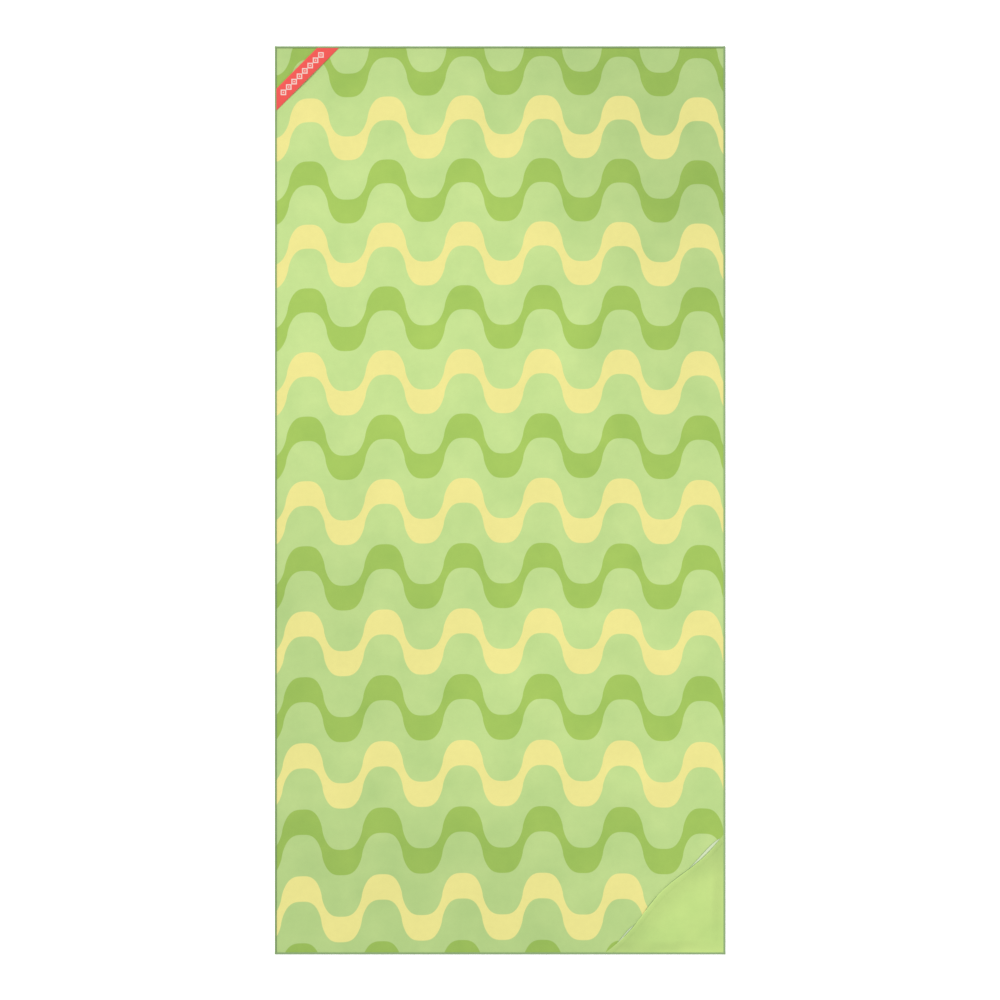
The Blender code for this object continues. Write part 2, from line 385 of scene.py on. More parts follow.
def settled_sheet():
    """Columns, rows and heights of the sheet once it has settled as cloth."""
    columns, rows, height = bumpy_sheet()
    bpy.ops.mesh.primitive_plane_add(size=GROUND_SIZE)
    ground = bpy.context.object
    ground.modifiers.new("collision", "COLLISION")
    ground.collision.thickness_outer = CONTACT_GAP
    ground.collision.cloth_friction = 60
    sheet = add_sheet_object(columns, rows, height)
    cloth = sheet.modifiers.new("cloth", "CLOTH")
    cloth.settings.quality = 6
    cloth.settings.mass = 0.12
    cloth.settings.tension_stiffness = 12
    cloth.settings.compression_stiffness = 12
    cloth.settings.shear_stiffness = 4
    cloth.settings.bending_stiffness = 30
    cloth.collision_settings.distance_min = CONTACT_GAP
    cloth.collision_settings.friction = 40
    cloth.point_cache.frame_end = SETTLE_FRAMES
    for frame_number in range(1, SETTLE_FRAMES + 1):
        bpy.context.scene.frame_set(frame_number)
    settled = sheet.evaluated_get(bpy.context.evaluated_depsgraph_get())
    places = np.zeros(len(settled.data.vertices) * 3)
    settled.data.vertices.foreach_get("co", places)
    height = places.reshape(len(rows), len(columns), 3)[..., 2]
    bpy.data.objects.remove(sheet)
    bpy.data.objects.remove(ground)
    bpy.context.scene.frame_set(1)
    height = height - height.min()
    return columns, rows, height * (HIGHEST_FOLD / height.max())


def spline_weights(share):
    """Weights of four neighbouring points in a cubic B-spline."""
    first = (1 - share) ** 3 / 6
    second = (3 * share**3 - 6 * share**2 + 4) / 6
    last = share**3 / 6
    return first, second, 1 - first - second - last, last


def soft_height(x, y):
    """Height of the settled sheet at the points x, y, as a smooth surface."""
    columns, rows, height = SHEET
    across = (x - columns[0]) / (columns[1] - columns[0])
    along = (y - rows[0]) / (rows[1] - rows[0])
    column = np.floor(across).astype(int)
    row = np.floor(along).astype(int)
    total = 0.0
    for j, row_weight in enumerate(spline_weights(along - row)):
        near_row = np.clip(row + j - 1, 0, len(rows) - 1)
        for i, column_weight in enumerate(spline_weights(across - column)):
            near_column = np.clip(column + i - 1, 0, len(columns) - 1)
            total = total + row_weight * column_weight * height[near_row, near_column]
    return total


def turn_faces_outwards(mesh):
    """Turn every face of a mesh of closed bodies outwards."""
    shape = bmesh.new()
    shape.from_mesh(mesh)
    bmesh.ops.recalc_face_normals(shape, faces=shape.faces)
    shape.to_mesh(mesh)
    shape.free()


def new_object(name, vertices, faces, material):
    """A smooth shaded mesh that remembers where its cloth lay at rest."""
    mesh = bpy.data.meshes.new(name)
    mesh.from_pydata(vertices.tolist(), [], faces)
    mesh.validate()
    turn_faces_outwards(mesh)
    place = mesh.attributes.new("cloth_place", "FLOAT_VECTOR", "POINT")
    flat = np.zeros(len(mesh.vertices) * 3)
    mesh.vertices.foreach_get("co", flat)
    place.data.foreach_set("vector", flat)
    mesh.shade_smooth()
    mesh.set_sharp_from_angle(angle=SHARP_ANGLE)
    mesh.materials.append(material)
    piece = bpy.data.objects.new(name, mesh)
    bpy.context.scene.collection.objects.link(piece)
    return piece


def grid_faces(rows, columns, offset):
    """Quads of a grid of points that are numbered row by row."""
    faces = []
    for row in range(rows - 1):
        for column in range(columns - 1):
            first = offset + row * columns + column
            faces.append((first, first + 1, first + columns + 1, first + columns))
    return faces


def make_shell(name, top, bottom, material):
    """A closed sheet between two grids of points, of shape rows, columns, 3."""
    rows, columns = top.shape[:2]
    count = rows * columns
    vertices = np.concatenate([top.reshape(-1, 3), bottom.reshape(-1, 3)])
    faces = grid_faces(rows, columns, 0) + grid_faces(rows, columns, count)
    border = list(range(columns))
    border += [row * columns + columns - 1 for row in range(1, rows)]
    border += [(rows - 1) * columns + c for c in range(columns - 2, -1, -1)]
    border += [row * columns for row in range(rows - 2, 0, -1)]
    for a, b in zip(border, border[1:] + border[:1]):
        faces.append((b, a, a + count, b + count))
    return new_object(name, vertices, faces, material)


def make_tube(name, rings, material):
    """A closed tube through rings of points, of shape rings, sides, 3."""
    count, sides = rings.shape[:2]
    faces = []
    for ring in range(count - 1):
        for side in range(sides):
            a = ring * sides + side
            b = ring * sides + (side + 1) % sides
            faces.append((a, b, b + sides, a + sides))
    faces.append(tuple(range(sides)))
    faces.append(tuple(range((count - 1) * sides, count * sides)))
    return new_object(name, rings.reshape(-1, 3), faces, material)


def graded_steps(start, stop, folds):
    """Positions from start to stop, closer together across each fold."""
    marks = {start, stop}
    for fold, bend in folds:
        marks.update((fold - bend / 2, fold + bend / 2))
    marks = sorted(mark for mark in marks if start <= mark <= stop)
    steps = []
    for low, high in zip(marks, marks[1:]):
        middle = (low + high) / 2
        bending = any(abs(middle - fold) < bend / 2 for fold, bend in folds)
        step = BEND_STEP if bending else GRID_STEP
        count = max(1, math.ceil((high - low) / step))
        steps += list(np.linspace(low, high, count, endpoint=False))
    return np.array(steps + [stop])


FOLDS = (
    (LOWER_FOLD, END_BEND),
    (MIDDLE_FOLD, MIDDLE_BEND),
    (UPPER_FOLD, END_BEND),
)

# Each span of cloth crosses one fold: name, lower end, upper end, fold line,
# length of the bend, the body below the fold, the body above it.
SPANS = (
    ("lower", LOWER, LOWER_SEAM, LOWER_FOLD, END_BEND, "bottom_end", "lower_middle"),
    (
        "centre",
        LOWER_SEAM,
        UPPER_SEAM,
        MIDDLE_FOLD,
        MIDDLE_BEND,
        "lower_middle",
        "upper_middle",
    ),
    ("upper", UPPER_SEAM, UPPER, UPPER_FOLD, END_BEND, "upper_middle", "top_end"),
)


def bend_across(piece):
    """Bake a piece's transform into its mesh."""
    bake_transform(piece)


def build_cloth(face_material, back_material):
    """The printed face and the plain back, each in three spans."""
    across = graded_steps(LEFT + RIM_INSET, RIGHT - RIM_INSET, ())
    layers = (
        ("face", PLY_MEETING, FACE_HIGH, face_material),
        ("back", BACK_LOW, PLY_MEETING, back_material),
    )
    for span, lower, upper, fold, bend, below, above in SPANS:
        start = max(lower, LOWER + RIM_INSET)
        stop = min(upper, UPPER - RIM_INSET)
        along = graded_steps(start, stop, FOLDS)
        x, y = np.meshgrid(across, along)
        rise = soft_height(x, y)
        for layer, low, high, material in layers:
            top = np.stack([x, y, rise + high], axis=-1)
            bottom = np.stack([x, y, rise + low], axis=-1)
            piece = make_shell(f"cloth_{layer}_{span}", top, bottom, material)
            bend_across(piece)
            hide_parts(f"cloth_{below}", f"cloth_{above}")


def edging_rings(start, stop, inwards):
    """Rings of the edging from start to stop, with the thread's ridges."""
    start = np.array(start)
    stop = np.array(stop)
    length = np.linalg.norm(stop - start)
    count = round(length / STITCH_PITCH) * RINGS_PER_STITCH + 1
    share = np.linspace(0, 1, count)[:, None]
    turn = np.linspace(0, 2 * math.pi, EDGING_SIDES, endpoint=False)[None, :]
    wraps = share * (count - 1) / RINGS_PER_STITCH + turn / (2 * math.pi)
    ridge = 1 - STITCH_RELIEF + STITCH_RELIEF * np.abs(np.cos(math.pi * wraps))
    sideways = np.sign(np.cos(turn)) * np.abs(np.cos(turn)) ** SECTION_POWER
    upwards = np.sign(np.sin(turn)) * np.abs(np.sin(turn)) ** SECTION_POWER
    inset = EDGING_HALF_WIDTH * (1 + ridge * sideways)
    base = start + share * (stop - start)
    x = base[:, :1] + inwards[0] * inset
    y = base[:, 1:] + inwards[1] * inset
    lift = soft_height(np.clip(x, LEFT, RIGHT), np.clip(y, LOWER, UPPER))
    z = EDGING_MID + lift + EDGING_HALF_HEIGHT * ridge * upwards
    return np.stack([x, y, z], axis=-1)


def build_edging(material):
    """Edging strips: six along the sides and one across each end."""
    sides = (("left", LEFT, (1, 0)), ("right", RIGHT, (-1, 0)))
    for span, lower, upper, fold, bend, below, above in SPANS:
        for side, x, inwards in sides:
            rings = edging_rings((x, lower), (x, upper), inwards)
            piece = make_tube(f"edging_{side}_{span}", rings, material)
            bend_across(piece)
            for body in (below, above):
                half = body.split("_")[0]
                end = body.endswith("end")
                node = f"edging_{body}" if end else f"edging_{half}_{side}"
                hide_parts(node)
    ends = (("bottom_end", LOWER, (0, 1)), ("top_end", UPPER, (0, -1)))
    for body, y, inwards in ends:
        rings = edging_rings((LEFT, y), (RIGHT, y), inwards)
        piece = make_tube(f"edging_across_{body}", rings, material)
        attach(piece, body)
        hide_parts(f"edging_{body}")


def ribbon_axes():
    """Start on the left edge, unit vector along the ribbon, one across it."""
    low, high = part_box("ribbon_middle")
    centre = np.array([(low.x + high.x) / 2, (low.y + high.y) / 2])
    along = np.array([1, 1]) / math.sqrt(2)
    towards_corner = np.array([-1, 1]) / math.sqrt(2)
    half_length = (centre[0] - LEFT) * math.sqrt(2)
    return centre - along * half_length, along, towards_corner, half_length


def build_ribbon(material):
    """The ribbon in two halves, each sewn at its end and free in the middle."""
    start, along, towards_corner, half_length = ribbon_axes()
    s = np.linspace(0, 1, RIBBON_STEPS)
    t = np.linspace(-0.5, 0.5, RIBBON_STEPS_ACROSS)
    for name, far in (("ribbon_left_half", False), ("ribbon_upper_half", True)):
        ss, tt = np.meshgrid(s, t)
        across = tt * RIBBON_WIDTH
        rim = RIM_INSET * math.sqrt(2) + across
        run = rim + ss * (half_length - rim)
        distance = 2 * half_length - run if far else run
        point = start + distance[..., None] * along
        point = point + across[..., None] * towards_corner
        x, y = point[..., 0], point[..., 1]
        middle = np.clip(run / half_length, 0, 1)
        slack = RIBBON_SLACK * np.sin(middle * math.pi / 2) ** 2
        low = soft_height(x, y) + RIBBON_LOW + slack
        edge = 1 - RIBBON_EDGE_THINNING * np.abs(2 * tt) ** RIBBON_EDGE_POWER
        top = np.stack([x, y, low + RIBBON_THICKNESS * edge], axis=-1)
        bottom = np.stack([x, y, low], axis=-1)
        piece = make_shell(name, top, bottom, material)
        add_ribbon_place(piece, start, along, towards_corner, half_length)
        near = start + along * (2 * half_length if far else 0)
        heading = -along if far else along
        begin = near + heading * RIBBON_HELD
        finish = near + heading * half_length
        begin = (*begin, 0)
        finish = (*finish, 0)
        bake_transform(piece)
        end_node = "ribbon_upper_end" if far else "ribbon_left_end"
        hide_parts(end_node, "ribbon_middle")


def add_ribbon_place(piece, start, along, towards_corner, half_length):
    """Store each point's place along and across the ribbon, from its middle."""
    mesh = piece.data
    flat = np.zeros(len(mesh.vertices) * 3)
    mesh.vertices.foreach_get("co", flat)
    offset = flat.reshape(-1, 3)[:, :2] - (start + along * half_length)
    place = np.zeros((len(offset), 3))
    place[:, 0] = offset @ along
    place[:, 1] = offset @ towards_corner
    layer = mesh.attributes.new("ribbon_place", "FLOAT_VECTOR", "POINT")
    layer.data.foreach_set("vector", place.ravel())


def pocket_mouth():
    """The mouth's lower end, its length and unit vectors along it and inwards."""
    low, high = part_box("pocket_patch")
    leg = high.x - low.x
    start = np.array([high.x - leg, low.y])
    along = np.array([1, 1]) / math.sqrt(2)
    inwards = np.array([1, -1]) / math.sqrt(2)
    return start, leg * math.sqrt(2), along, inwards


def mouth_stray(share):
    """How far the pocket's edge strays outwards, at a share of the mouth."""
    swell = MOUTH_SWELL * np.sin(math.pi * np.clip(share, 0, 1)) ** 4
    return swell - MOUTH_STRAY * np.sin(3 * math.pi * share)


def pocket_place(m, depth):
    """Places x, y in the pocket: m along the mouth, depth in from its edge."""
    start, length, along, inwards = pocket_mouth()
    fade = np.clip(1 - depth / STRAY_FADE, 0, 1)
    offset = depth - mouth_stray(m / length) * fade * fade
    point = start + m[..., None] * along + offset[..., None] * inwards
    return point[..., 0], point[..., 1]


def looseness(x, y):
    """Zero where the edging holds the pocket down, one where it lies loose."""
    from_rim = np.minimum(RIGHT - x, y - LOWER)
    share = np.clip((from_rim - SEAM_START) / (SEAM_END - SEAM_START), 0, 1)
    return share * share * (3 - 2 * share)


def pocket_height(x, y, m, depth):
    """Height of the pocket's underside: over the face, with its roll and fullness."""
    free = np.sin(math.pi * np.clip(m / pocket_mouth()[1], 0, 1))
    width = np.where(depth < ROLL_CREST, ROLL_FRONT, ROLL_BACK)
    roll = ROLL_HEIGHT * np.exp(-(((depth - ROLL_CREST) / width) ** 2))
    fill = (depth - FULLNESS_CENTRE) / FULLNESS_RADIUS
    fullness = FULLNESS * free * np.exp(-(fill**2))
    lift = POCKET_CLEAR - SEAM_CLEAR + free**0.5 * roll + fullness
    ground = soft_height(np.clip(x, LEFT, RIGHT), np.clip(y, LOWER, UPPER))
    return ground + FACE_HIGH + SEAM_CLEAR + looseness(x, y) * lift


def build_pocket(material):
    """The pocket patch in two halves that meet on the corner's bisector."""
    length = pocket_mouth()[1]
    half = length / 2
    body_rings = np.linspace(BODY_RINGS_FROM, half - CENTRE_CLEAR, BODY_RINGS)
    depth_steps = np.concatenate([ROLL_RINGS, body_rings])
    side_steps = np.linspace(0, 1, POCKET_COLUMNS)
    for name, far in (("pocket_lower_half", False), ("pocket_right_half", True)):
        depth, side = np.meshgrid(depth_steps, side_steps)
        run = depth + side * (half - depth)
        m = length - run if far else run
        x, y = pocket_place(m, depth)
        under = pocket_height(x, y, m, depth)
        rounding = np.clip(depth / MOUTH_ROUNDING, 0, 1)
        arc = np.sqrt(1 - (1 - rounding) ** 2)
        body = MOUTH_THINNEST + (1 - MOUTH_THINNEST) * arc
        body = body * (SEAM_THINNEST + (1 - SEAM_THINNEST) * looseness(x, y))
        top = np.stack([x, y, under + POCKET_THICKNESS * body], axis=-1)
        bottom = np.stack([x, y, under], axis=-1)
        piece = make_shell(name, top, bottom, material)
        lift_pocket(piece)
        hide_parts("pocket_patch", "pocket_mouth_hem")


def mouth_point(share, outwards):
    """Places x, y in front of the mouth, at a share of it and out from it."""
    start, length, along, inwards = pocket_mouth()
    point = start + (share * length)[..., None] * along
    point = point - outwards[..., None] * inwards
    return point[..., 0], point[..., 1]


def facing_showing(share, reach):
    """How far a facing shows, at a share of its own length."""
    return reach * np.sin(math.pi * share**FACING_LEAN) ** FACING_BLUNTNESS


def build_mouth_facings(material, thread_material):
    """The pale inside of the hem, where the pocket's edge has drawn back."""
    for name, first, last, reach, far in FACINGS:
        columns = np.linspace(0, 1, FACING_COLUMNS)
        run, width = np.meshgrid(columns, np.linspace(0, 1, FACING_ROWS))
        showing = facing_showing(run, reach)
        share = first + run * (last - first)
        outwards = mouth_stray(share) + showing - width * (showing + FACING_TUCK)
        x, y = mouth_point(share, outwards)
        crown = np.sin(math.pi * np.clip(width * FACING_CROWN, 0, 1))
        arch = FACING_THINNEST + (1 - FACING_THINNEST) * crown
        under = soft_height(x, y) + FACE_HIGH + FACING_CLEAR
        top = np.stack([x, y, under + FACING_THICKNESS * arch], axis=-1)
        bottom = np.stack([x, y, under], axis=-1)
        piece = make_shell(f"pocket_facing_{name}", top, bottom, material)
        lift_pocket(piece)
        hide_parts("pocket_mouth_hem")
        # The facing's outer edge: an overlock thread that also draws the thin contact
        # shadow around the facing, partly real and partly painted shade.
        run = np.linspace(FACING_EDGE_SHADOW_ENDS, 1 - FACING_EDGE_SHADOW_ENDS, FACING_EDGE_SHADOW_RINGS)
        share = first + run * (last - first)
        outwards = mouth_stray(share) + facing_showing(run, reach)
        edge = f"pocket_facing_edge_shadow_{name}"
        build_shadow_thread(edge, share, outwards, FACING_EDGE_SHADOW_RADIUS, thread_material)


def build_mouth_shadow_lines(material):
    """Painted shade: dark threads in front of the mouth, shaped as the hem's overlocked raw
    edge, where the lip casts a thin contact shadow.
    """
    for name, first, last, far in MOUTH_SHADOW_LINES:
        share = np.linspace(first, last, MOUTH_SHADOW_RINGS)
        outwards = mouth_stray(share) + MOUTH_SHADOW_RADIUS
        edge = f"pocket_mouth_shadow_line_{name}"
        build_shadow_thread(edge, share, outwards, MOUTH_SHADOW_RADIUS, material)


def build_shadow_thread(name, share, outwards, radius, material):
    """A dark thread on the face along the mouth, which thins out at both ends: painted
    shade for a thin contact shadow line.
    """
    x, y = mouth_point(share, outwards)
    inwards = pocket_mouth()[3]
    run = np.linspace(SHADOW_THREAD_ENDS, 1 - SHADOW_THREAD_ENDS, len(share))
    taper = np.sin(math.pi * run) ** SHADOW_THREAD_TAPER
    turn = np.linspace(0, 2 * math.pi, SHADOW_THREAD_SIDES, endpoint=False)[None, :]
    across = radius * taper[:, None] * np.cos(turn)
    rise = radius * taper[:, None] * np.sin(turn)
    level = soft_height(x, y) + FACE_HIGH + FACING_CLEAR + FACING_THICKNESS + radius
    ring_x = x[:, None] + across * inwards[0]
    ring_y = y[:, None] + across * inwards[1]
    rings = np.stack([ring_x, ring_y, level[:, None] + rise], axis=-1)
    piece = make_tube(name, rings, material)
    lift_pocket(piece)
    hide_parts("pocket_mouth_hem")


def lift_pocket(piece):
    """Bake a piece of the pocket's transform into its mesh."""
    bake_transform(piece)


def stitch_shape(x, y, z, first):
    """Vertices and faces of one stitch through some places, swelling midway."""
    sides = HEM_THREAD_SIDES
    rings = len(HEM_THREAD_SWELL)
    vertices = []
    for j, share in enumerate(HEM_THREAD_SWELL):
        swell = share * HEM_THREAD_RADIUS
        for angle in np.linspace(0, 2 * math.pi, sides, endpoint=False):
            out = swell * math.cos(angle) / math.sqrt(2)
            vertices.append((x[j] + out, y[j] - out, z[j] + swell * math.sin(angle)))
    last = first + (rings - 1) * sides
    faces = [tuple(range(first, first + sides)), tuple(range(last, last + sides))]
    for ring in range(first, last, sides):
        for k in range(sides):
            a = ring + k
            b = ring + (k + 1) % sides
            faces.append((a, b, b + sides, a + sides))
    return vertices, faces


def build_pocket_thread(material):
    """The running stitches of the pocket's hem, in two halves."""
    length = pocket_mouth()[1]
    count = int((length / 2 - HEM_MARGIN) / HEM_STITCH_PITCH)
    stitch = np.linspace(0, HEM_STITCH, len(HEM_THREAD_SWELL))
    for name, far in (("pocket_thread_lower", False), ("pocket_thread_right", True)):
        vertices = []
        faces = []
        for i in range(count):
            run = HEM_MARGIN + i * HEM_STITCH_PITCH + stitch
            m = length - run if far else run
            depth = np.full_like(run, HEM_DEPTH)
            x, y = pocket_place(m, depth)
            z = pocket_height(x, y, m, depth) + POCKET_THICKNESS + HEM_THREAD_LIFT
            points, polygons = stitch_shape(x, y, z, len(vertices))
            vertices += points
            faces += polygons
        piece = new_object(name, np.array(vertices), faces, material)
        lift_pocket(piece)
        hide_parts("pocket_hem_thread")


def build_label(material):
    """The blank care label under the cloth, with close points at its sewn side."""
    low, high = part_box("care_label")
    fine = np.linspace(low.x, low.x + LABEL_FINE, LABEL_STEPS + 2)
    coarse = np.linspace(low.x + LABEL_FINE + 2 * MM, high.x, LABEL_STEPS)
    across = np.concatenate([fine, coarse])
    along = np.linspace(low.y, high.y, LABEL_STEPS)
    x, y = np.meshgrid(across, along)
    top = np.stack([x, y, np.full_like(x, high.z)], axis=-1)
    bottom = np.stack([x, y, np.full_like(x, low.z)], axis=-1)
    piece = make_shell("care_label_satin", top, bottom, material)
    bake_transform(piece)
    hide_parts("care_label")


# ---------------------------------------------------------------- materials


def calc(tree, operation, *values, clamp=False):
    """A maths node. Values are numbers or sockets."""
    node = tree.nodes.new("ShaderNodeMath")
    node.operation = operation
    node.use_clamp = clamp
    for socket, value in zip(node.inputs, values):
        if isinstance(value, bpy.types.NodeSocket):
            tree.links.new(value, socket)
        else:
            socket.default_value = value
    return node.outputs[0]


def mix_colours(tree, factor, first, second):
    """Blend two colours, each a tuple or a socket, by a factor socket."""
    node = tree.nodes.new("ShaderNodeMix")
    node.data_type = "RGBA"
    tree.links.new(factor, node.inputs[0])
    for socket, value in ((node.inputs[6], first), (node.inputs[7], second)):
        if isinstance(value, bpy.types.NodeSocket):
            tree.links.new(value, socket)
        else:
            socket.default_value = (*value, 1.0)
    return node.outputs[2]


def multiply_colours(tree, first, second):
    """The product of two colour sockets, channel by channel."""
    node = tree.nodes.new("ShaderNodeVectorMath")
    node.operation = "MULTIPLY"
    tree.links.new(first, node.inputs[0])
    tree.links.new(second, node.inputs[1])
    return node.outputs[0]


def scale_colour(tree, colour, factor):
    """A colour socket made lighter or darker by a factor socket."""
    node = tree.nodes.new("ShaderNodeVectorMath")
    node.operation = "SCALE"
    tree.links.new(colour, node.inputs[0])
    tree.links.new(factor, node.inputs["Scale"])
    return node.outputs[0]


def new_cloth_material(name, roughness, sheen):
    """A Principled material with sheen, and its node tree and shader."""
    material = bpy.data.materials.new(name)
    material.use_nodes = True
    tree = material.node_tree
    shader = tree.nodes["Principled BSDF"]
    shader.inputs["Roughness"].default_value = roughness
    shader.inputs["Sheen Weight"].default_value = sheen
    shader.inputs["Sheen Roughness"].default_value = SHEEN_SPREAD
    shader.inputs["Specular IOR Level"].default_value = CLOTH_SPECULAR
    return material, tree, shader


def place_socket(tree, name="cloth_place"):
    """The place on the cloth, in metres, which stays put when it folds."""
    node = tree.nodes.new("ShaderNodeAttribute")
    node.attribute_type = "GEOMETRY"
    node.attribute_name = name
    return node.outputs["Vector"]


def split_place(tree, place):
    """The first two coordinates of a place socket."""
    node = tree.nodes.new("ShaderNodeSeparateXYZ")
    tree.links.new(place, node.inputs[0])
    return node.outputs[0], node.outputs[1]


def plain_colour(tree, colour):
    """A colour socket with one colour all over."""
    node = tree.nodes.new("ShaderNodeRGB")
    node.outputs[0].default_value = (*colour, 1.0)
    return node.outputs[0]


def shade_of(colour, factor):
    """A colour made lighter or darker by a number."""
    return tuple(channel * factor for channel in colour)


def noise(tree, place, size, detail):
    """Noise with features of about the given size in metres, from 0 to 1."""
    node = tree.nodes.new("ShaderNodeTexNoise")
    node.inputs["Scale"].default_value = 1 / size
    node.inputs["Detail"].default_value = detail
    node.inputs["Roughness"].default_value = NOISE_ROUGHNESS
    tree.links.new(place, node.inputs["Vector"])
    return node.outputs[0]


def weave(tree, x, y, pitch):
    """A plain weave's height: threads over and under, at the given pitch."""
    turn = math.pi / pitch
    one = calc(tree, "SINE", calc(tree, "MULTIPLY", x, turn))
    two = calc(tree, "SINE", calc(tree, "MULTIPLY", y, turn))
    return calc(tree, "MULTIPLY", one, two)


def add_bump(tree, shader, height, depth, strength):
    """Drive the shader's normal by a height socket."""
    node = tree.nodes.new("ShaderNodeBump")
    node.inputs["Strength"].default_value = strength
    node.inputs["Distance"].default_value = depth
    tree.links.new(height, node.inputs["Height"])
    tree.links.new(node.outputs["Normal"], shader.inputs["Normal"])


def vary_roughness(tree, shader, share, lowest, spread):
    """Drive the shader's roughness by a share socket."""
    rough = calc(tree, "MULTIPLY_ADD", share, spread, lowest)
    tree.links.new(rough, shader.inputs["Roughness"])


def painted_pool_light(tree, place, light_pools):
    """Painted light: a colour socket, one in each channel and more in the painted pools of
    light.
    """
    total = 0.0
    for x, y, radius, strength in light_pools:
        node = tree.nodes.new("ShaderNodeVectorMath")
        node.operation = "DISTANCE"
        tree.links.new(place, node.inputs[0])
        node.inputs[1].default_value = (x, y, 0)
        share = calc(tree, "DIVIDE", node.outputs["Value"], radius)
        fade = calc(tree, "SUBTRACT", 1.0, calc(tree, "MULTIPLY", share, share), clamp=True)
        ease = calc(tree, "MULTIPLY_ADD", fade, -2.0, 3.0)
        square = calc(tree, "MULTIPLY", fade, fade)
        rise = calc(tree, "MULTIPLY", square, ease)
        total = calc(tree, "MULTIPLY_ADD", rise, strength, total)
    brightest = tuple(1 + channel for channel in PAINTED_LIGHT_TINT)
    return mix_colours(tree, total, WHITE, brightest)


def brushed_surface(tree, shader, place, colour, light_pools, painted_light_cut=None):
    """Nap of brushed microfibre: painted mottled shade and painted pools of light, fine
    grain and weave.
    """
    x, y = split_place(tree, place)
    shade_mottle = noise(tree, place, MOTTLE_SHADE_SIZE, 2.0)
    nap = noise(tree, place, NAP_SIZE, 4.0)
    grain = noise(tree, place, GRAIN_SIZE, 3.0)
    dark = tuple(1 - shade / 2 for shade in PAINTED_MOTTLE_SHADE)
    light = tuple(1 + shade / 2 for shade in PAINTED_MOTTLE_SHADE)
    # Painted light and shade: random patches of painted shade, times the painted pools of
    # light.
    light_and_shade = mix_colours(tree, shade_mottle, dark, light)
    light_and_shade = multiply_colours(tree, light_and_shade, painted_pool_light(tree, place, light_pools))
    # The yellow ink takes less of the painted light and shade.
    if painted_light_cut is not None:
        light_and_shade = mix_colours(tree, painted_light_cut, light_and_shade, WHITE)
    nap_tone = calc(tree, "MULTIPLY_ADD", nap, NAP_TONE, 1 - NAP_TONE / 2)
    grain_tone = calc(tree, "MULTIPLY_ADD", grain, GRAIN_TONE, 1 - GRAIN_TONE / 2)
    tone = calc(tree, "MULTIPLY", nap_tone, grain_tone)
    shaded = scale_colour(tree, multiply_colours(tree, colour, light_and_shade), tone)
    tree.links.new(shaded, shader.inputs["Base Color"])
    threads = weave(tree, x, y, WEAVE_PITCH)
    height = calc(tree, "MULTIPLY_ADD", threads, WEAVE_RELIEF, nap)
    height = calc(tree, "MULTIPLY_ADD", grain, GRAIN_RELIEF, height)
    vary_roughness(tree, shader, nap, *CLOTH_ROUGH)
    add_bump(tree, shader, height, *CLOTH_BUMP)


def row_number(tree, y):
    """Which row of the print a height on the towel falls in, as a fraction."""
    below = calc(tree, "SUBTRACT", ROW_ZERO_Y, y)
    square = calc(tree, "MULTIPLY_ADD", below, 4 * ROW_PITCH_GROWTH, ROW_PITCH**2)
    root = calc(tree, "SQRT", square)
    difference = calc(tree, "SUBTRACT", root, ROW_PITCH)
    return calc(tree, "DIVIDE", difference, 2 * ROW_PITCH_GROWTH)


def wave_shift(tree, x, row):
    """How far the print's wave is above its row's centre line."""
    period = calc(tree, "MULTIPLY_ADD", row, WAVE_PERIOD_GROWTH, WAVE_PERIOD)
    height = calc(tree, "MULTIPLY_ADD", row, WAVE_HEIGHT_GROWTH, WAVE_HEIGHT)
    turns = calc(tree, "DIVIDE", calc(tree, "SUBTRACT", x, WAVE_ANCHOR_X), period)
    halves = calc(tree, "MULTIPLY_ADD", turns, 2.0, 2 * WAVE_PHASE + 0.5)
    number = calc(tree, "FLOOR", halves)
    from_middle = calc(tree, "SUBTRACT", calc(tree, "SUBTRACT", halves, number), 0.5)
    away = calc(tree, "MULTIPLY", calc(tree, "ABSOLUTE", from_middle), 2.0)
    fall = calc(tree, "POWER", away, CREST_WIDTH_POWER)
    left = calc(tree, "SUBTRACT", 1.0, fall, clamp=True)
    swing = calc(tree, "POWER", left, 1 / CREST_HEIGHT_POWER)
    trough = calc(tree, "FLOORED_MODULO", number, 2.0)
    sign = calc(tree, "MULTIPLY_ADD", trough, -2.0, 1.0)
    return calc(tree, "MULTIPLY", calc(tree, "MULTIPLY", swing, sign), height)


